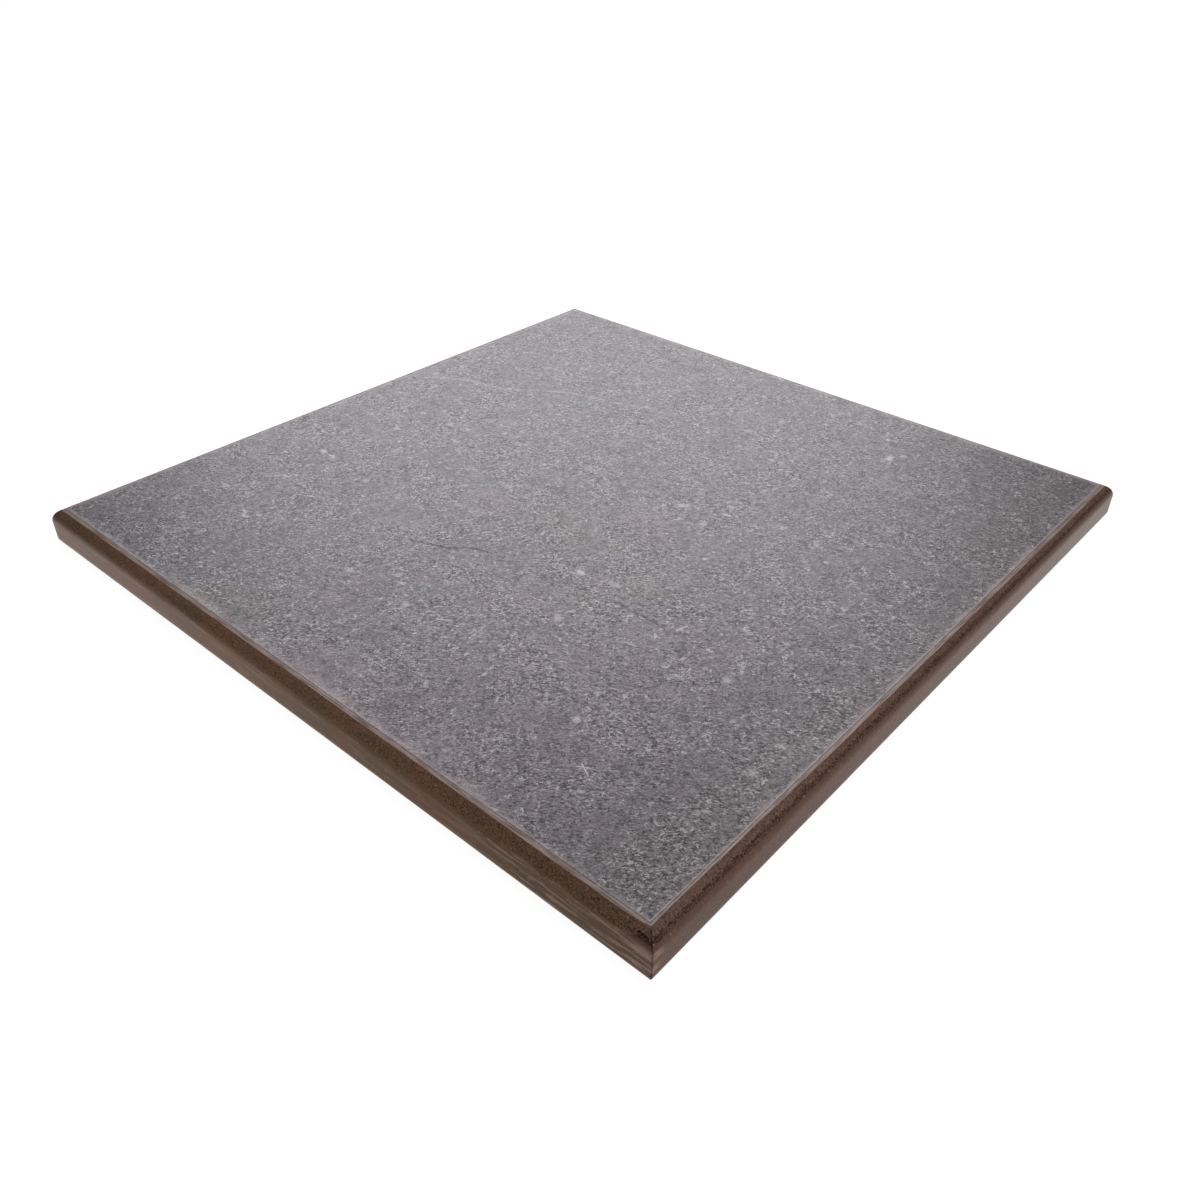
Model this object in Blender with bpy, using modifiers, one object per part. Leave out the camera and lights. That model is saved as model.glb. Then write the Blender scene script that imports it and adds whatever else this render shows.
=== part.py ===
"""Tooling slab for leatherwork: a ground square of brown stoneware with a grey face fired onto it.

The pressed brown body, the pale slip on it and the thin grey face are three layers. A wheel grinds
their edges together, so each layer is the same ground blank, kept between the layer's own heights.
Metres, +Z up, with the origin at the centre of the underside.
"""
import math

import bmesh
import bpy

# Driving dimensions
SLAB_WIDTH = 0.300
SLAB_DEPTH = 0.300
SLAB_THICKNESS = 0.016
TOP_ROUND = 0.0055
BOTTOM_ROUND = 0.0035
ROUND_STEPS = 14

FACE_THICKNESS = 0.0003
SLIP_THICKNESS = 0.0003
LAYER_GAP = 0.0003

# Pattern pressed into the back: square pockets, with ribs standing between them
POCKET_SIZE = 0.022
POCKET_DEPTH = 0.0006
POCKET_DRAFT = math.radians(45)
RIB_WIDTH = 0.005
BACK_BORDER = 0.012

CUTTER_OVERLAP = 0.002
SHARP_ANGLE = math.radians(30)

# Heights where the layers start and end, worked out from the face down
FACE_BASE = SLAB_THICKNESS - FACE_THICKNESS
SLIP_TOP = FACE_BASE - LAYER_GAP
SLIP_BASE = SLIP_TOP - SLIP_THICKNESS
BODY_TOP = SLIP_BASE - LAYER_GAP


def empty_scene():
    for item in list(bpy.data.objects):
        bpy.data.objects.remove(item, do_unlink=True)


def new_collection(name):
    collection = bpy.data.collections.new(name)
    bpy.context.scene.collection.children.link(collection)
    return collection


def take_in(item, name, collection):
    """Name a new object and move it to its collection."""
    item.name = name
    item.data.name = name
    for old in list(item.users_collection):
        old.objects.unlink(item)
    collection.objects.link(item)
    return item


def box(name, size, centre, collection):
    """A box whose scale is applied, so that its modifiers work at true size."""
    bpy.ops.mesh.primitive_cube_add(size=1.0, location=centre)
    item = bpy.context.active_object
    item.scale = size
    bpy.ops.object.transform_apply(location=False, rotation=False, scale=True)
    return take_in(item, name, collection)


def fired_finish(name, colour, roughness):
    finish = bpy.data.materials.new(name)
    finish.use_nodes = True
    shader = finish.node_tree.nodes["Principled BSDF"]
    shader.inputs["Base Color"].default_value = (*colour, 1.0)
    shader.inputs["Roughness"].default_value = roughness
    shader.inputs["Metallic"].default_value = 0.0
    return finish


def cut(item, operation, cutter):
    cutter.hide_render = True
    cutter.display_type = "WIRE"
    modifier = item.modifiers.new(cutter.name, "BOOLEAN")
    modifier.operation = operation
    modifier.solver = "EXACT"
    modifier.object = cutter


def settle(item):
    """Turn the modifiers' result into the object's own mesh, smooth across its rounds."""
    graph = bpy.context.evaluated_depsgraph_get()
    result = bpy.data.meshes.new_from_object(item.evaluated_get(graph))
    item.modifiers.clear()
    item.data = result
    result.name = item.name
    result.shade_smooth()
    result.set_sharp_from_angle(angle=SHARP_ANGLE)


def ground_blank(name, collection):
    """The whole slab: upper and lower edges ground round, upright corners left as sharp mitres."""
    size = (SLAB_WIDTH, SLAB_DEPTH, SLAB_THICKNESS)
    blank = box(name, size, (0.0, 0.0, SLAB_THICKNESS / 2), collection)
    largest = max(TOP_ROUND, BOTTOM_ROUND)
    shape = bmesh.new()
    shape.from_mesh(blank.data)
    weight = shape.edges.layers.float.new("bevel_weight_edge")
    for edge in shape.edges:
        ends = [corner.co.z for corner in edge.verts]
        if min(ends) > 0.0:
            edge[weight] = TOP_ROUND / largest
        elif max(ends) < 0.0:
            edge[weight] = BOTTOM_ROUND / largest
    shape.to_mesh(blank.data)
    shape.free()
    bevel = blank.modifiers.new("ground_edges", "BEVEL")
    bevel.limit_method = "WEIGHT"
    bevel.offset_type = "OFFSET"
    bevel.width = largest
    bevel.segments = ROUND_STEPS
    return blank


def layer(name, base, top, finish, parts, cutters):
    """The part of the ground blank between two heights, as a solid of its own."""
    item = ground_blank(name, parts)
    size = (SLAB_WIDTH + 2 * CUTTER_OVERLAP, SLAB_DEPTH + 2 * CUTTER_OVERLAP, top - base)
    cut(item, "INTERSECT", box(name + "_height", size, (0.0, 0.0, (base + top) / 2), cutters))
    item.data.materials.append(finish)
    return item


def pocket_count(length):
    """The largest even number of pockets that fits: two ribs then cross at the back's centre."""
    room = length - 2 * (BOTTOM_ROUND + BACK_BORDER) + RIB_WIDTH
    return 2 * int(room / (2 * (POCKET_SIZE + RIB_WIDTH)))


def back_plugs(collection):
    """A square array of tapered plugs, the shape that the press leaves in the back."""
    height = POCKET_DEPTH + CUTTER_OVERLAP
    foot = POCKET_SIZE + 2 * CUTTER_OVERLAP * math.tan(POCKET_DRAFT)
    tip = POCKET_SIZE - 2 * POCKET_DEPTH * math.tan(POCKET_DRAFT)
    half_diagonal = math.sqrt(0.5)
    pitch = POCKET_SIZE + RIB_WIDTH
    across = pocket_count(SLAB_WIDTH)
    along = pocket_count(SLAB_DEPTH)
    bpy.ops.mesh.primitive_cone_add(
        vertices=4,
        radius1=foot * half_diagonal,
        radius2=tip * half_diagonal,
        depth=height,
        location=((1 - across) * pitch / 2, (1 - along) * pitch / 2, POCKET_DEPTH - height / 2),
        rotation=(0.0, 0.0, math.radians(45)),
    )
    bpy.ops.object.transform_apply(location=False, rotation=True, scale=False)
    plugs = take_in(bpy.context.active_object, "back_plugs", collection)
    for count, step in ((across, (pitch, 0.0, 0.0)), (along, (0.0, pitch, 0.0))):
        array = plugs.modifiers.new("repeat", "ARRAY")
        array.count = count
        array.use_relative_offset = False
        array.use_constant_offset = True
        array.constant_offset_displace = step
    return plugs


empty_scene()
parts = new_collection("tooling_slab")
cutters = new_collection("cutters")

brown_stoneware = fired_finish("brown_stoneware", (0.085, 0.055, 0.042), 0.45)
pale_slip = fired_finish("pale_slip", (0.230, 0.200, 0.190), 0.55)
grey_face = fired_finish("grey_face", (0.115, 0.108, 0.120), 0.60)

body = layer("stoneware_body", -CUTTER_OVERLAP, BODY_TOP, brown_stoneware, parts, cutters)
cut(body, "DIFFERENCE", back_plugs(cutters))
slip_coat = layer("slip_coat", SLIP_BASE, SLIP_TOP, pale_slip, parts, cutters)
face_coat = layer("face_coat", FACE_BASE, SLAB_THICKNESS + CUTTER_OVERLAP, grey_face, parts, cutters)

for part in (body, slip_coat, face_coat):
    settle(part)

# Both coats are fired onto the body and move with it
for coat in (slip_coat, face_coat):
    coat.parent = body
    coat.matrix_parent_inverse = body.matrix_world.inverted()
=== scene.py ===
import math

import bmesh
import bpy
import numpy as np
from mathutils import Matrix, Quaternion, Vector, noise


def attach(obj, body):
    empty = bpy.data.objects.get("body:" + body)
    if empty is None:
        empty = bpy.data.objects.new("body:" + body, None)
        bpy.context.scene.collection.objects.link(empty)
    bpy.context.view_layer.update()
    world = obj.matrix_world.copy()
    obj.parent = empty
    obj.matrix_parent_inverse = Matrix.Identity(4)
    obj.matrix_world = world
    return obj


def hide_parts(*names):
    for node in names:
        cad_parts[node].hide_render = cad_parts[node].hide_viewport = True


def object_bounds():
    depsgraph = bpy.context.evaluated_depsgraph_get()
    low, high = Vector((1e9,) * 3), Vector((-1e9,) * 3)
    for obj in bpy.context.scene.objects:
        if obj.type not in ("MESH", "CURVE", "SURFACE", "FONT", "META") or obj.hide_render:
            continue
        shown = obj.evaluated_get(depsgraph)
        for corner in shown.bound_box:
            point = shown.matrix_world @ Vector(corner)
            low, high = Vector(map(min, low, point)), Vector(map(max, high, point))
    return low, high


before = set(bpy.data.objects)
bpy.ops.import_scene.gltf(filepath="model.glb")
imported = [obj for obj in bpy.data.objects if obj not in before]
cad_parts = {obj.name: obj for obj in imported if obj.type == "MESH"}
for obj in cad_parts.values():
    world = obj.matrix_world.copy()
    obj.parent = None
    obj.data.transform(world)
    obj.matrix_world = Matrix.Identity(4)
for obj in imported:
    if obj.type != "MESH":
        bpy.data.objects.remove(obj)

MM = 0.001
packed_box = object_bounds()
slab_low = np.array(packed_box[0])
slab_high = np.array(packed_box[1])
WIDTH, DEPTH, THICKNESS = slab_high - slab_low


# Stoneware body ------------------------------------------------------------------------------------
# Dark brown clay, pressed in a mould and fired. The wheel has ground its four edges to one profile:
# a large round above, a flat, a smaller round below. Its back keeps the pockets of the press.
TOP_ROUND = 5.5 * MM
BOTTOM_ROUND = 3.5 * MM
ARRIS_ROUND = 0.35 * MM
CORNER_STEPS = 5
SHARP_EDGE = 35
WELD = 0.002 * MM
COAT_TUCK = 1 * MM
BODY_TOP_DEPTH = 0.52 * MM
COAT_READ_INSET = 4 * MM

POCKET = 22 * MM
RIB = 5 * MM
POCKET_DEPTH = 0.6 * MM
POCKETS_PER_SIDE = 10
POCKET_EASE = 0.9 * MM


def both_ways(steps):
    """Mirror a list of distances from the middle into one list across the whole side."""
    steps = np.asarray(sorted(steps))
    return np.concatenate([-steps[::-1], steps[steps > 0]])


def outline(lines):
    """How each point round a square outline moves with its half sides and its corner arcs."""
    arc = np.linspace(0, math.pi / 2, CORNER_STEPS + 2)[1:-1]
    along = []
    for side in range(4):
        turn = side * math.pi / 2
        cos, sin = round(math.cos(turn)), round(math.sin(turn))
        straight = np.stack([lines, -np.ones_like(lines), np.zeros_like(lines), -np.ones_like(lines)])
        corner = np.stack([np.ones_like(arc), -np.ones_like(arc), np.sin(arc), -np.cos(arc)])
        for ax, ay, cx, cy in np.concatenate([straight, corner], axis=1).T:
            along.append((
                ax * cos - ay * sin, ax * sin + ay * cos, cx * cos - cy * sin, cx * sin + cy * cos))
    return np.array(along)


def ring(round_outline, inset, height, arris=ARRIS_ROUND):
    """One closed ring of the slab's outline, at an inset from its sides and at a height."""
    half_x = WIDTH / 2 - inset - arris
    half_y = DEPTH / 2 - inset - arris
    x = round_outline[:, 0] * half_x + round_outline[:, 2] * arris
    y = round_outline[:, 1] * half_y + round_outline[:, 3] * arris
    return np.stack([x, y, np.broadcast_to(height, x.shape)], axis=1)


class Skin:
    """Points and faces of one piece, gathered strip by strip and welded at the end."""

    def __init__(self):
        self.points = []
        self.faces = []
        self.count = 0

    def add(self, points):
        """Take in points and give the number of the first."""
        start = self.count
        self.points.append(points)
        self.count += len(points)
        return start

    def rings(self, rings):
        """Faces between rings that follow one another down the outside of the piece."""
        size = len(rings[0])
        start = self.add(np.concatenate(rings))
        here = np.arange(size)
        after = np.roll(here, -1)
        for row in range(len(rings) - 1):
            top = start + row * size
            low = top + size
            quads = np.stack([top + here, low + here, low + after, top + after], axis=1)
            self.faces.extend(quads.tolist())

    def sheet(self, xs, ys, heights, up=True):
        """A rectangular sheet of points, face up or face down."""
        grid_x, grid_y = np.meshgrid(xs, ys, indexing="ij")
        start = self.add(np.stack([grid_x, grid_y, heights], axis=-1).reshape(-1, 3))
        index = start + np.arange(len(xs) * len(ys)).reshape(len(xs), len(ys))
        quads = np.stack([index[:-1, :-1], index[1:, :-1], index[1:, 1:], index[:-1, 1:]], axis=-1)
        quads = quads.reshape(-1, 4)
        self.faces.extend((quads if up else quads[:, ::-1]).tolist())

    def cap(self, rim, up):
        """A flat end inside one ring."""
        start = self.add(rim)
        loop = list(range(start, start + len(rim)))
        self.faces.append(loop if up else loop[::-1])

    def finish(self, name):
        """The welded mesh as an object in the scene, smooth except across its sharp edges."""
        mesh = bpy.data.meshes.new(name)
        mesh.from_pydata(np.concatenate(self.points).tolist(), [], self.faces)
        shape = bmesh.new()
        shape.from_mesh(mesh)
        bmesh.ops.remove_doubles(shape, verts=shape.verts, dist=WELD)
        shape.to_mesh(mesh)
        shape.free()
        mesh.shade_smooth()
        mesh.set_sharp_from_angle(angle=math.radians(SHARP_EDGE))
        piece = bpy.data.objects.new(name, mesh)
        bpy.context.scene.collection.objects.link(piece)
        return piece


def waves(points, length, seed, octaves=2):
    """Smooth noise from about -1 to 1, with hills about one length apart."""
    offset = Vector((seed * 13.7, seed * 7.1, seed * 3.3))
    return np.array([noise.fractal(Vector(p) / length + offset, 1.0, 2.0, octaves) for p in points])


def over_top_round(round_outline, angle, dent):
    """A ring on the upper ground round, at an angle from the face, sunk by a small dent."""
    inset = TOP_ROUND * (1 - np.sin(angle)) + dent * np.sin(angle)
    height = THICKNESS - TOP_ROUND * (1 - np.cos(angle)) - dent * np.cos(angle)
    return ring(round_outline, inset, height)


def coat_depths(points):
    """How deep below the face its own edge, the slip and the body come to light round the rim."""
    x, y = points[:, 0], points[:, 1]
    along_right = (y + DEPTH / 2) / (85 * MM)
    along_left = (x - WIDTH / 2) / (9 * MM)
    thin = 0.62 * np.exp(-np.where(x > WIDTH / 2 - TOP_ROUND, along_right, along_left) ** 2)
    thin = np.where((y > DEPTH / 2 - TOP_ROUND) | (x < TOP_ROUND - WIDTH / 2), 0.0, thin)
    body = (0.42 * MM + 0.05 * MM * waves(points, 60 * MM, 1)) * (1 - thin)
    body += 0.012 * MM * waves(points, 9 * MM, 2)
    slip = 0.085 * MM + 0.015 * MM * waves(points, 18 * MM, 3)
    face = 0.022 * MM + 0.030 * MM * waves(points, 24 * MM, 4) + 0.012 * MM * waves(points, 5 * MM, 9)
    face = np.clip(face, 0.002 * MM, 0.060 * MM)
    return face, slip, np.maximum(body, 0.13 * MM)


def angle_at(depth):
    """The angle on the upper round that lies this deep below the face."""
    return np.arccos(1 - depth / TOP_ROUND)


def rim_angles(round_outline):
    """The angles on the upper round where the face, the slip and the body start."""
    places = ring(round_outline, COAT_READ_INSET, THICKNESS)
    return [angle_at(depth) for depth in coat_depths(places)]


def dents(round_outline, inset):
    """Slight waves that the wheel leaves across the ground rounds."""
    places = ring(round_outline, inset, THICKNESS)
    return 0.02 * MM * (1 + waves(places, 14 * MM, 5)) / 2 + 0.006 * MM * waves(places, 3.5 * MM, 6)


def pocket_lines():
    """Distances from the middle of the back where its mesh needs a line."""
    pitch = POCKET + RIB
    steps = [0.0]
    for number in range(POCKETS_PER_SIDE // 2):
        middle = (number + 0.5) * pitch
        for step in (-0.25, 0.0, 0.2, 0.45, 0.7, 0.9, 1.2, 4.0, 8.0):
            reach = POCKET / 2 - step * MM
            steps += [middle - reach, middle + reach]
    back_half = WIDTH / 2 - BACK_INSET
    steps += list(np.linspace(max(steps) + 1 * MM, back_half, 6))
    return both_ways(steps)


def pocket_depth(x, y):
    """How far the pressed back is sunk at a place: drafted pockets with eased edges."""
    pitch = POCKET + RIB
    reach = POCKETS_PER_SIDE * pitch / 2

    def inside(place):
        along = np.mod(place + reach, pitch)
        depth = np.minimum(along - RIB / 2, pitch - RIB / 2 - along)
        return np.where(np.abs(place) < reach, depth, -1.0)

    ramp = np.clip(np.minimum(inside(x), inside(y)) / POCKET_EASE, 0, 1)
    return POCKET_DEPTH * ramp * ramp * (3 - 2 * ramp)


BACK_INSET = BOTTOM_ROUND + 0.6 * MM
back_lines = pocket_lines()
body_outline = outline(back_lines / back_lines[-1])
body_start = rim_angles(body_outline)[2]

body_skin = Skin()
body_rings = [ring(body_outline, TOP_ROUND + COAT_TUCK, THICKNESS - BODY_TOP_DEPTH)]
for share in np.linspace(0, 1, 19):
    angle = body_start + (math.pi / 2 - body_start) * share
    dent = dents(body_outline, TOP_ROUND * (1 - np.sin(angle))) * min(1.0, 6 * share * (1 - share) + share)
    body_rings.append(over_top_round(body_outline, angle, dent))
flat_dent = dents(body_outline, 0.0)
for height in np.linspace(THICKNESS - TOP_ROUND, BOTTOM_ROUND, 6)[1:]:
    body_rings.append(ring(body_outline, flat_dent, height))
for angle in np.linspace(0, math.pi / 2, 10)[1:]:
    inset = BOTTOM_ROUND * (1 - math.cos(angle)) + flat_dent * math.cos(angle)
    body_rings.append(ring(body_outline, inset, BOTTOM_ROUND * (1 - math.sin(angle))))
body_rings.append(ring(body_outline, BACK_INSET, 0.0, arris=0.0))
body_skin.rings(body_rings)
body_skin.cap(body_rings[0], up=True)
back_y = back_lines * (DEPTH / 2 - BACK_INSET) / (WIDTH / 2 - BACK_INSET)
body_skin.sheet(back_lines, back_y, pocket_depth(*np.meshgrid(back_lines, back_y, indexing="ij")), up=False)
stoneware = body_skin.finish("ground_stoneware")


class Shade:
    """A shader socket that is worked with like a number: each operation adds the node it needs."""

    def __init__(self, tree, socket=None):
        self.tree = tree
        self.socket = socket

    def node(self, kind, settings=None, inputs=None, output=0):
        """A new node, with its settings made first and then its sockets filled or linked."""
        made = self.tree.nodes.new("ShaderNode" + kind)
        for name, value in (settings or {}).items():
            if name == "curve":
                Shade.bend(made.mapping, value)
            else:
                setattr(made, name, value)
        for name, value in (inputs or {}).items():
            if isinstance(value, Shade):
                self.tree.links.new(value.socket, made.inputs[name])
            else:
                made.inputs[name].default_value = value
        return Shade(self.tree, made.outputs[output])

    @staticmethod
    def bend(mapping, knots):
        """Lead a curve through its knots."""
        points = mapping.curves[0].points
        while len(points) < len(knots):
            points.new(0.5, 0.5)
        for point, knot in zip(points, knots):
            point.location = knot
        mapping.update()

    def many(self):
        return self.socket.type in ("VECTOR", "RGBA")

    def math(self, operation, first, second):
        terms = [first, second]
        if any(isinstance(term, tuple) or isinstance(term, Shade) and term.many() for term in terms):
            terms = [term if isinstance(term, (tuple, Shade)) else (term,) * 3 for term in terms]
            return self.node("VectorMath", {"operation": operation}, dict(enumerate(terms)))
        return self.node("Math", {"operation": operation}, dict(enumerate(terms)))

    def __add__(self, other):
        return self.math("ADD", self, other)

    def __radd__(self, other):
        return self.math("ADD", other, self)

    def __sub__(self, other):
        return self.math("SUBTRACT", self, other)

    def __rsub__(self, other):
        return self.math("SUBTRACT", other, self)

    def __mul__(self, other):
        return self.math("MULTIPLY", self, other)

    def __rmul__(self, other):
        return self.math("MULTIPLY", other, self)

    def __truediv__(self, other):
        return self.math("DIVIDE", self, other)

    def __abs__(self):
        return self.node("Math", {"operation": "ABSOLUTE"}, {0: self})

    def least(self, other):
        return self.math("MINIMUM", self, other)

    def most(self, other):
        return self.math("MAXIMUM", self, other)

    def part(self, axis):
        return self.node("SeparateXYZ", None, {0: self}, output=axis)

    def length(self):
        return self.node("VectorMath", {"operation": "LENGTH"}, {0: self}, output=1)

    def turned(self, degrees):
        """This place turned about the upright axis."""
        angle = math.radians(degrees)
        return self.node("VectorRotate", {"rotation_type": "Z_AXIS"}, {"Vector": self, "Angle": angle})

    def rise(self, start, end):
        """0 before start, 1 past end and smooth between them; end may be the smaller of the two."""
        low, high = sorted((start, end))
        shown = (0.0, 1.0) if start < end else (1.0, 0.0)
        return self.node("MapRange", {"interpolation_type": "SMOOTHSTEP"}, {
            "Value": self, "From Min": low, "From Max": high, "To Min": shown[0], "To Max": shown[1]})

    def between(self, colour, other):
        """This value as the share of the way from one colour to the other."""
        ends = [end if isinstance(end, Shade) else (*end, 1.0) for end in (colour, other)]
        return self.node("Mix", {"data_type": "RGBA"}, {0: self, 6: ends[0], 7: ends[1]}, output=2)

    def noise(self, length, detail=2.0, roughness=0.5, seed=0.0, stretch=None):
        """Noise from 0 to 1 over this place in millimetres, its grains about one length across."""
        place = self + (seed * 31.7, seed * 17.3, seed * 11.1)
        if stretch:
            place = place / stretch
        return self.node("TexNoise", None, {
            "Vector": place, "Scale": 1.0 / length, "Detail": detail, "Roughness": roughness})


def finish_of(name, **fixed):
    """A new fired finish: its material, its shader and its place in millimetres."""
    material = bpy.data.materials.new(name)
    material.use_nodes = True
    shader = material.node_tree.nodes["Principled BSDF"]
    for socket, value in fixed.items():
        shader.inputs[socket.replace("_", " ")].default_value = value
    place = Shade(material.node_tree).node("TexCoord", output="Object") * 1000.0
    return material, shader, place


def plug(shader, **sockets):
    """Join values to the shader's sockets of the same names."""
    for name, value in sockets.items():
        value.tree.links.new(value.socket, shader.inputs[name.replace("_", " ")])


def roughen(height, depth):
    """A bumped surface from a height between 0 and 1 that stands for so many metres."""
    return height.node("Bump", None, {"Height": height, "Strength": 1.0, "Distance": depth})


RED_CLAY = (0.128, 0.066, 0.044)
OLIVE_CLAY = (0.108, 0.067, 0.043)
PALE_CLAY = (0.250, 0.172, 0.132)
MAUVE_CLAY = (0.112, 0.066, 0.052)
KILN_WASH = (0.340, 0.310, 0.280)
SLIP_SMEAR = (0.300, 0.240, 0.225)

brown, brown_shader, place = finish_of("brown_stoneware", Specular_IOR_Level=0.018, Coat_Roughness=0.22)
x, y, z = place.part(0), place.part(1), place.part(2)
grain = place.noise(0.55, detail=3, roughness=0.75)
speck = place.noise(0.9, detail=2, seed=1)
layers = place.noise(1.5, detail=3, seed=2, stretch=(16, 16, 1))
hue = place.noise(24, detail=3, seed=3)
smear = place.noise(4.0, detail=3, roughness=0.6, seed=4)
on_flat = z.rise(13.2, 11.2)
right_side = x.rise(142.5, 144.5)
ground_line = z - 0.9 * right_side + 0.9 * (smear - 0.5) + 1.7 * (grain - 0.5)
on_round = ground_line.rise(12.3, 12.8)
# Painted reflection: a dark band down the right side's upper round, standing in for the dark room that the
# polished round would mirror.
painted_dark_band = on_round * ground_line.rise(14.1, 13.5)

colour = hue.rise(0.38, 0.62).between(RED_CLAY, OLIVE_CLAY)
colour = (right_side * 0.8).between(colour, MAUVE_CLAY)
colour = (layers.rise(0.50, 0.72) * on_flat * (0.35 - 0.27 * right_side)).between(colour, PALE_CLAY)
swirled = x.rise(60, 120) * y.rise(-144, -148) * on_flat * z.rise(1.5, 3.0)
swirl = place + 5 * place.noise(22, seed=5, stretch=(3, 3, 1))
swirl = swirl.noise(1.1, detail=2, seed=6, stretch=(9, 9, 1))
colour = (swirl.rise(0.50, 0.62) * swirled * 0.8).between(colour, PALE_CLAY)
tone = (1.0 + 3.2 * on_round) * (grain - 0.5) + 0.4 * (smear - 0.5)
# Painted light and shade: the flats and rounds are made lighter or darker side by side and towards their
# ends, where more or less light and sheen falls.
front_side = y.rise(-143, -146)
painted_light_by_side = front_side * (0.66 * x.rise(150, -130) * on_flat - 0.20 * x.rise(20, 145) * on_round)
painted_light_by_side = painted_light_by_side + right_side * on_flat * (0.16 + 0.22 * y.rise(-130, -30))
painted_light_by_side = painted_light_by_side - 0.14 * front_side * on_round * x.rise(-80, -140)
# Painted shade: darker along the corner mitres above the bottom, where the hip of the round bends.
painted_corner_shade = abs(abs(x) - abs(y)).rise(0.55, 0.15) * z.rise(1.0, 2.0)
# Painted light and shade: the upper round lighter, the right side's painted dark band and the lighter and
# darker stretches by side.
colour = colour * (1.02 + tone + 0.16 * on_round - 0.50 * right_side * painted_dark_band + painted_light_by_side)
colour = colour * (1 - 0.45 * painted_corner_shade)
colour = (front_side * z.rise(15.62, 15.80) * 0.3).between(colour, SLIP_SMEAR)
colour = speck.rise(0.66, 0.74).between(colour, PALE_CLAY)
# Painted shade: the body darker towards the bottom round, where the table shades it.
colour = colour * (0.45 + 0.55 * z.rise(0.2, 3.4))
inward = abs(x).most(abs(y)).rise(147.0, 144.5)
underside = z.rise(1.0, 0.7) * inward
wash = underside * place.noise(5, detail=4, roughness=0.65, seed=7).rise(0.36, 0.60)
colour = (wash * (0.25 + 0.55 * z.rise(0.3, 0.0))).between(colour, KILN_WASH)
polish = 0.17 + 0.10 * grain + 0.10 * right_side * smear
gloss = on_flat * (0.20 * right_side * y.rise(-60, 150) + 0.14 * front_side * x.rise(100, -130))
plug(brown_shader, Base_Color=colour, Roughness=polish.most(0.75 * underside), Coat_Weight=gloss)
plug(brown_shader, Normal=roughen(grain, 0.03 * MM))
stoneware.data.materials.append(brown)
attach(stoneware, "root")
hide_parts("stoneware_body")


# Slip coat -----------------------------------------------------------------------------------------
# A thin pale clay wash, poured on the pressed body before firing so that the face takes its colour
# well. Only the line that the wheel cut through it shows, all the way round the rim.
SLIP_TOP_DEPTH = 0.20 * MM
SLIP_FOOT_DEPTH = 0.50 * MM

face_lines = np.linspace(-1, 1, 297)
rim_outline = outline(face_lines)
face_start, slip_start, slip_end = rim_angles(rim_outline)


def ground_strip(start, end, steps):
    """Rings down the upper round between two angles that change along the rim."""
    strip = []
    for share in np.linspace(0, 1, steps):
        strip.append(over_top_round(rim_outline, start + (end - start) * share, 0.0))
    return strip


slip_skin = Skin()
slip_rings = [
    ring(rim_outline, TOP_ROUND + COAT_TUCK, THICKNESS - SLIP_TOP_DEPTH),
    *ground_strip(slip_start, slip_end, 4),
    ring(rim_outline, TOP_ROUND + COAT_TUCK, THICKNESS - SLIP_FOOT_DEPTH),
]
slip_skin.rings(slip_rings)
slip_skin.cap(slip_rings[0], up=True)
slip_skin.cap(slip_rings[-1], up=False)
slip = slip_skin.finish("slip_line")

SLIP_PALE = (0.400, 0.310, 0.290)
SLIP_DEEP = (0.210, 0.143, 0.122)

pale, pale_shader, place = finish_of("pale_slip", Specular_IOR_Level=0.25, Roughness=0.35)
line = place.noise(0.16, detail=2, stretch=(60, 60, 1))
patch = place.noise(7, detail=3, seed=1)
colour = (line.rise(0.36, 0.58) * (0.35 + 0.9 * patch)).least(1.0).between(SLIP_DEEP, SLIP_PALE)
grain = place.noise(0.4, detail=2, seed=2)
plug(pale_shader, Base_Color=colour * (0.8 + 0.4 * grain), Normal=roughen(grain, 0.01 * MM))
slip.data.materials.append(pale)
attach(slip, "root")
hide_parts("slip_coat")


# Face coat -----------------------------------------------------------------------------------------
# A hard stone-look glaze, sprayed and printed on the slip and pressed with a faint split-stone
# relief. The wheel cuts its edge away in a wavy line, since high spots are ground further in.
FACE_INSET = TOP_ROUND + 1.2 * MM
FACE_FOOT_DEPTH = 0.18 * MM


def face_height(points):
    """The height of the face, with the faint split-stone relief that its press leaves."""
    relief = 0.045 * MM * waves(points, 22 * MM, 7, 3) + 0.012 * MM * waves(points, 4 * MM, 8, 2)
    return THICKNESS - np.clip(0.05 * MM - relief, 0.003 * MM, 0.14 * MM)


face_skin = Skin()
face_rings = []
rim_ring = over_top_round(rim_outline, face_start, 0.0)
rim_inset = TOP_ROUND * (1 - np.sin(face_start))
for share in np.linspace(1, 0, 6):
    inset = rim_inset + (FACE_INSET - rim_inset) * share
    flat = ring(rim_outline, inset, THICKNESS, arris=ARRIS_ROUND * (1 - share))
    blend = share * share * (3 - 2 * share)
    flat[:, 2] = blend * face_height(flat) + (1 - blend) * rim_ring[:, 2]
    face_rings.append(flat)
face_rings += ground_strip(face_start, slip_start, 4)[1:]
face_rings.append(ring(rim_outline, TOP_ROUND + COAT_TUCK, THICKNESS - FACE_FOOT_DEPTH))
face_skin.rings(face_rings)
face_skin.cap(face_rings[-1], up=False)
grid_x = face_lines * (WIDTH / 2 - FACE_INSET)
grid_y = face_lines * (DEPTH / 2 - FACE_INSET)
grid = np.stack(np.meshgrid(grid_x, grid_y, indexing="ij"), axis=-1).reshape(-1, 2)
grid = np.concatenate([grid, np.full((len(grid), 1), THICKNESS)], axis=1)
face_skin.sheet(grid_x, grid_y, face_height(grid).reshape(len(grid_x), len(grid_y)))
face = face_skin.finish("stone_look_face")

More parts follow.
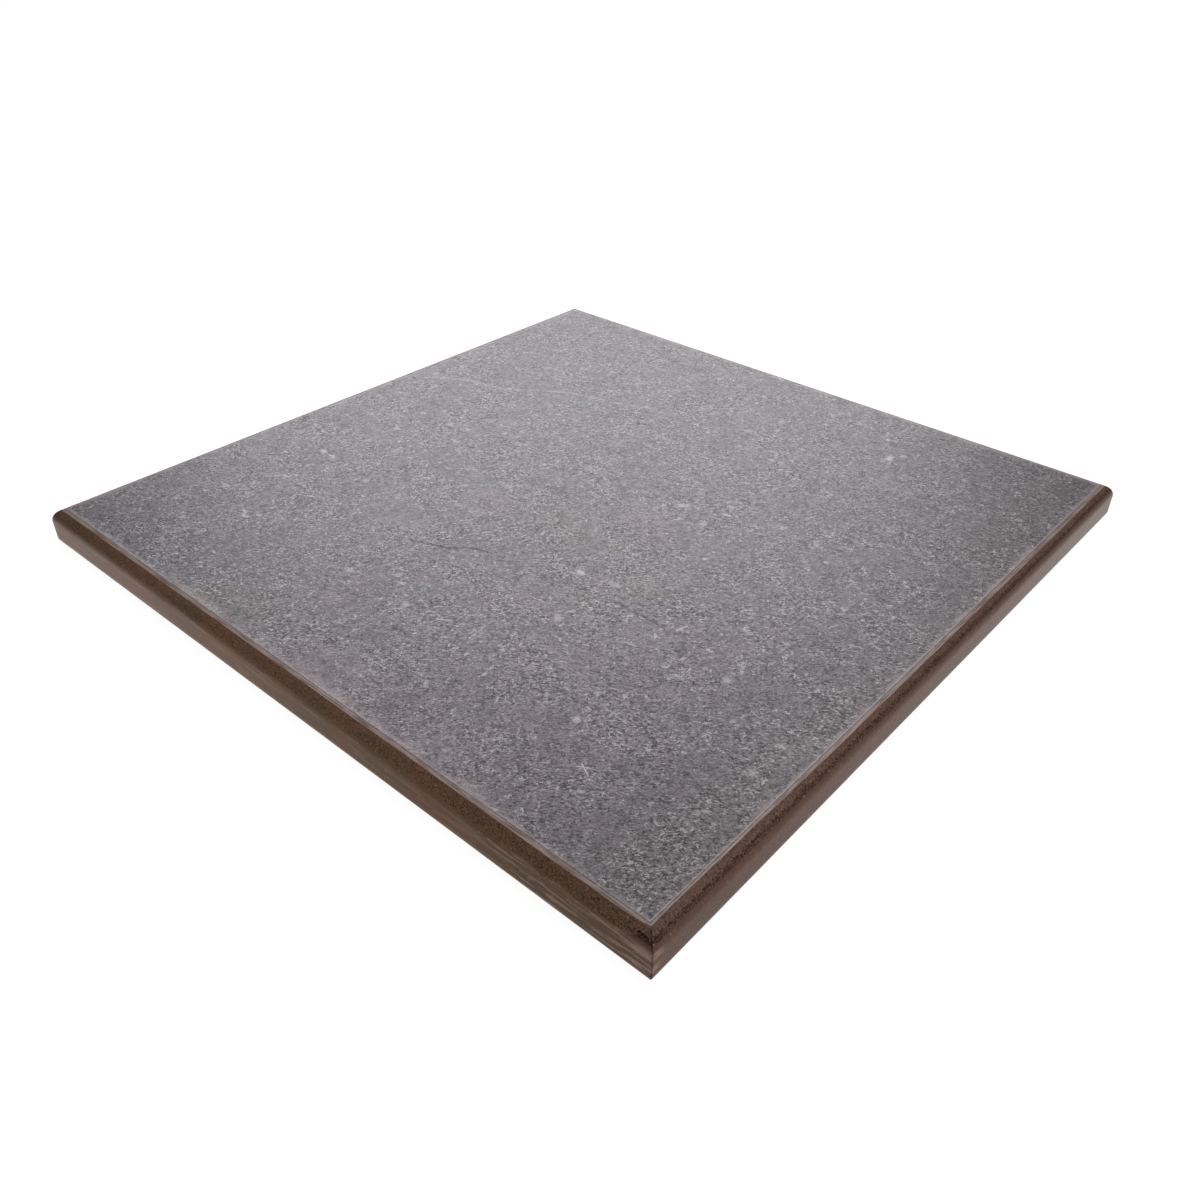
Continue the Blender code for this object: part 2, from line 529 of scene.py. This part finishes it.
BLUE_GREY = (0.066, 0.059, 0.070)
MAUVE_GREY = (0.083, 0.056, 0.078)
WARM_GREY = (0.079, 0.062, 0.059)
PALE_GREY = (0.500, 0.470, 0.470)
RUBBED = (0.300, 0.236, 0.236)
# This colour and the next, and their two insets below, paint reflection lines along the rim.
DARK_REFLECTION_LINE = (0.085, 0.062, 0.058)
PALE_REFLECTION_LINE = (0.430, 0.350, 0.350)
GRAIN_TURN = 41
STAR_SPACING = 15
DARK_REFLECTION_INSET = 4.76
PALE_REFLECTION_INSET = 5.12

grey, grey_shader, place = finish_of("grey_face", Specular_IOR_Level=0.25, Coat_Roughness=0.42)
x, y = place.part(0), place.part(1)
flat_place = place * (1.0, 1.0, 0.0)
drawn = flat_place.turned(-GRAIN_TURN)
tint = flat_place.noise(48, detail=3, roughness=0.6, seed=1)
warmth = flat_place.noise(36, detail=3, roughness=0.6, seed=2)
mottle = flat_place.noise(7.0, detail=4, roughness=0.62, seed=3)
salt = drawn.noise(0.7, detail=3, roughness=0.75, seed=4, stretch=(1.7, 1, 1))
crowd = flat_place.noise(19, detail=3, roughness=0.55, seed=5)
mauve = tint.rise(0.40, 0.60).most(0.9 * x.rise(-30, 40) * y.rise(90, 30))
colour = mauve.between(BLUE_GREY, MAUVE_GREY)
colour = warmth.rise(0.52, 0.72).most(0.6 * x.rise(80, 140)).between(colour, WARM_GREY)
sand = drawn.noise(0.45, detail=1, seed=17, stretch=(1.6, 1, 1))
grit = flat_place.noise(2.2, detail=2, roughness=0.6, seed=18)
tone = (5.2 * (salt - 0.5) + 3.4 * (sand - 0.5)) * (0.75 + 0.5 * crowd.rise(0.38, 0.64))
tone = tone + 1.4 * (grit - 0.5) + 1.0 * (mottle - 0.5)
colour = colour * (1 + tone).most(0.15)

ragged = flat_place + 2.6 * (flat_place.node(
    "TexNoise", None, {"Vector": flat_place, "Scale": 0.9, "Detail": 3.0}, output=1) - 0.5)
fleck = ragged.noise(1.9, detail=3, roughness=0.75, seed=6)
crumb = drawn.noise(0.60, detail=2, seed=7, stretch=(1.8, 1, 1))
curl = ragged.noise(6.0, detail=2, roughness=0.5, seed=8)
curl_ends = flat_place.noise(2.6, detail=1, seed=9)
crowded = crowd.rise(0.38, 0.64)
flecks = fleck.rise(0.59, 0.66) * (0.1 + 0.9 * crowded)
crumbs = crumb.rise(0.59, 0.67) * (0.35 + 0.65 * crowded)
curls = abs(curl - 0.5).rise(0.020, 0.004) * curl_ends.rise(0.54, 0.62)
marks = (flecks * 0.7).most(crumbs * 0.85).most(curls * 0.75)


def along_line(knots, thickness, seed):
    """A drawn-out mark along a line across the face, which fades at both ends."""
    start, end = knots[0][0], knots[-1][0]
    share = (x - start) / (end - start)
    low, high = min(k[1] for k in knots), max(k[1] for k in knots)
    curve = [((k[0] - start) / (end - start), (k[1] - low) / (high - low)) for k in knots]
    height = share.node("FloatCurve", {"curve": curve}, {"Value": share})
    wander = 1.2 * (flat_place.noise(9, detail=3, roughness=0.6, seed=seed) - 0.5)
    wander = wander + 1.3 * (flat_place.noise(1.5, detail=2, seed=seed) - 0.5)
    off_line = abs(y - (low + (high - low) * height) - wander)
    ends = share.rise(0.0, 0.06) * share.rise(1.0, 0.94)
    return off_line.rise(thickness, 0.3 * thickness) * ends


VEIN = [(-139, 27.5), (-122, 40), (-100, 46), (-77, 62), (-50, 70.5), (-20, 79.5)]
CRACK = [(-30, -70.5), (-15, -64.5), (-7.5, -58.7), (5, -56.2), (25, -54.5), (40, -51), (75, -50)]
vein = along_line(VEIN, 1.8, 10) * flat_place.noise(3, detail=2, seed=11).rise(0.15, 0.60)
crack = along_line(CRACK, 1.0, 12) * (0.25 + 1.7 * abs((x + 30) / 105 - 0.42)).least(1.0)

BLOTS = [
    (70, 107.5, 1.7, 2.6, 1.0), (31, -44.5, 2.4, 1.6, 1.0),
    (45, -42, 3.0, 1.8, 0.5), (46, 23, 3.4, 1.0, 0.8),
    (-111, -49.5, 2.2, 1.5, 0.8), (82.5, -103, 1.7, 1.5, 0.9), (-105, -15, 2.0, 1.2, 0.7),
    (120, 28, 0.7, 0.7, 1.0), (61, 122, 1.4, 1.0, 0.8), (109, 89, 0.7, 0.7, 1.0), (111.5, 88, 0.6, 0.6, 0.9),
    (-90, -102, 2.0, 1.2, 0.8), (-93, -100, 1.2, 1.0, 0.6),
    (103, -124, 1.2, 0.9, 0.8), (134, -72, 1.6, 1.4, 0.7),
]
for across, back, reach_x, reach_y, strength in BLOTS:
    spread = ((ragged - (across, back, 0.0)) * (1 / reach_x, 1 / reach_y, 0.0)).length()
    marks = marks.most(spread.rise(1.25, 0.35) * (strength * 0.9) * (0.45 + 0.9 * salt))

SCRATCHES = [(98.5, -117, -27, 3.3), (97.4, -116.5, 32, 2.4), (78, -46, 70, 3.0), (16, -96, 30, 3.2)]
for across, back, turn, reach in SCRATCHES:
    turned = (flat_place - (across, back, 0.0)).turned(-turn)
    stroke = abs(turned.part(1)).rise(0.30, 0.12) * abs(turned.part(0)).rise(reach, 0.6 * reach)
    marks = marks.most(stroke)

star_cells = {"Vector": ragged, "Scale": 1 / STAR_SPACING}
stars = flat_place.node("TexVoronoi", None, star_cells, output="Distance")
star_size = flat_place.node("TexVoronoi", None, star_cells, output="Color").part(0)
marks = marks.most((stars / (0.01 + 0.12 * star_size)).rise(1.3, 0.3) * 0.5 * star_size.rise(0.55, 0.95))

colour = (marks * 0.95).between(colour, PALE_GREY)
colour = (vein * (0.08 + 0.16 * x.rise(-40, -75))).between(colour, PALE_GREY)
crack = crack * (0.32 + 0.36 * x.rise(5, -8))
colour = colour * (1 - crack)

BLUSH = (0.160, 0.112, 0.130)
BLUSHES = [(-50, -62, 26), (25, 0, 22), (-30, -30, 20), (60, -136, 18), (10, -138, 22)]
for across, back, reach in BLUSHES:
    spread = ((ragged - (across, back, 0.0)) * (1.0, 1.6, 0.0)).length()
    colour = (spread.rise(reach, 0.2 * reach) * (0.15 + 0.5 * mottle)).between(colour, BLUSH)

# Painted shade: the face darker towards the near corner, where less light and sheen falls.
colour = colour * (1 - 0.15 * (x - y).rise(100, 300))

inset = WIDTH / MM / 2 - abs(x).most(abs(y))
wobble = flat_place.noise(14, detail=4, roughness=0.6, seed=14)
rubbed = (inset + 7.0 * (wobble - 0.5)).rise(6.8, 5.0)
scuffs = ragged.noise(7, detail=3, roughness=0.65, seed=19).rise(0.42, 0.54) * inset.rise(10.5, 6.5)
scuffs = scuffs * y.rise(-136, -140) * x.rise(-100, -60) * x.rise(110, 70)
colour = (rubbed * (0.62 - 0.30 * (x - y).rise(220, 280))).most(scuffs * 0.50).between(colour, RUBBED)
# Painted reflection: a pale line and a thin dark line along the rim, where the rounded arris would mirror
# bright lamps with a dark gap between them.
reflection_wobble = 0.24 * (flat_place.noise(11, detail=3, seed=15) - 0.5)
painted_dark_reflection = abs(inset + reflection_wobble - DARK_REFLECTION_INSET).rise(0.17, 0.08)
pale_reflection_share = 0.25 + 0.35 * x.rise(142.5, 144.5)
painted_pale_reflection = abs(inset + reflection_wobble - PALE_REFLECTION_INSET).rise(0.22, 0.10)
colour = (painted_pale_reflection * pale_reflection_share).between(colour, PALE_REFLECTION_LINE)
colour = (painted_dark_reflection * 0.85).between(colour, DARK_REFLECTION_LINE)

glaze = (0.60 + 0.65 * tone + 0.8 * marks - crack).rise(-0.25, 1.25)
worn = 0.34 + 0.25 * salt + 0.10 * marks
surface = 0.5 * salt + 0.35 * mottle + 0.25 * marks - 0.3 * crack
plug(grey_shader, Base_Color=colour, Roughness=worn, Coat_Weight=glaze, Normal=roughen(surface, 0.20 * MM))
face.data.materials.append(grey)
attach(face, "root")
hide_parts("face_coat")


# Floor, light and camera ---------------------------------------------------------------------------
# A plain white table in a bright white room, lit evenly from above and a little from the front. A
# broad soft light behind shows only in what the finishes mirror, where it glances off the face.
TABLE_REACH = 30.0
TABLE_GAP = 0.05 * MM
VIEW_TURN = 40.92
VIEW_RISE = 35.51
CAMERA_ROLL = 0.733
CAMERA_LENS = 32.377
VIEW_DISTANCE = 1.45779
VIEW_ACROSS = 0.00341
VIEW_UP = -0.09338

floor_mesh = bpy.data.meshes.new("white_table")
shape = bmesh.new()
bmesh.ops.create_grid(shape, x_segments=1, y_segments=1, size=TABLE_REACH)
shape.to_mesh(floor_mesh)
shape.free()
floor = bpy.data.objects.new("white_table", floor_mesh)
floor.location.z = -TABLE_GAP
bpy.context.scene.collection.objects.link(floor)
white, white_shader, _ = finish_of("white_table", Roughness=0.9)
white_shader.inputs["Base Color"].default_value = (0.12, 0.12, 0.12, 1.0)
white_shader.inputs["Emission Color"].default_value = (1.0, 1.0, 1.0, 1.0)
white_shader.inputs["Emission Strength"].default_value = 0.96
white_shader.inputs["Specular IOR Level"].default_value = 0.0
floor_mesh.materials.append(white)

view_turn = math.radians(VIEW_TURN)
view_rise = math.radians(VIEW_RISE)
away = Vector((
    math.sin(view_turn) * math.cos(view_rise),
    -math.cos(view_turn) * math.cos(view_rise),
    math.sin(view_rise),
))
aim = away.to_track_quat("Z", "Y") @ Quaternion((0, 0, 1), math.radians(CAMERA_ROLL))
camera = bpy.data.objects.new("camera", bpy.data.cameras.new("camera"))
camera.data.sensor_width = 36.0
camera.data.lens = CAMERA_LENS
camera.data.clip_start = 0.01
camera.rotation_mode = "QUATERNION"
camera.rotation_quaternion = aim
shifted = aim @ Vector((VIEW_ACROSS * WIDTH, VIEW_UP * WIDTH, 0.0))
camera.location = away * VIEW_DISTANCE * WIDTH + shifted
bpy.context.scene.collection.objects.link(camera)
bpy.context.scene.camera = camera


def lamp(name, kind, strength, place, towards, gloss_only=False, **settings):
    """A soft studio light, which the camera doesn't see."""
    data = bpy.data.lights.new(name, kind)
    data.energy = strength
    for key, value in settings.items():
        setattr(data, key, value)
    item = bpy.data.objects.new(name, data)
    item.location = place
    item.rotation_mode = "QUATERNION"
    item.rotation_quaternion = (Vector(place) - Vector(towards)).to_track_quat("Z", "Y")
    item.visible_camera = False
    item.visible_diffuse = not gloss_only
    bpy.context.scene.collection.objects.link(item)


lamp("overhead", "SUN", 1.9, (0.25, 0.35, 1.0), (0, 0, 0), angle=math.radians(60))
lamp("front_fill", "AREA", 3.5, (0.95, -0.95, 0.60), (0, 0, 0), shape="RECTANGLE", size=1.8, size_y=0.9)
lamp("rear_softbox", "AREA", 18.0, (-0.895, 0.935, 0.84), (0, 0, 0), gloss_only=True,
     shape="RECTANGLE", size=1.5, size_y=0.9, color=(0.97, 0.965, 1.0))

world = bpy.data.worlds.new("studio")
world.use_nodes = True
bpy.context.scene.world = world
surround = Shade(world.node_tree)
seen = surround.node("LightPath", output="Is Camera Ray")
background = world.node_tree.nodes["Background"]
plug(background, Color=seen.between((0.03, 0.03, 0.03), (1.0, 1.0, 1.0)))
bpy.context.scene.view_settings.view_transform = "Standard"
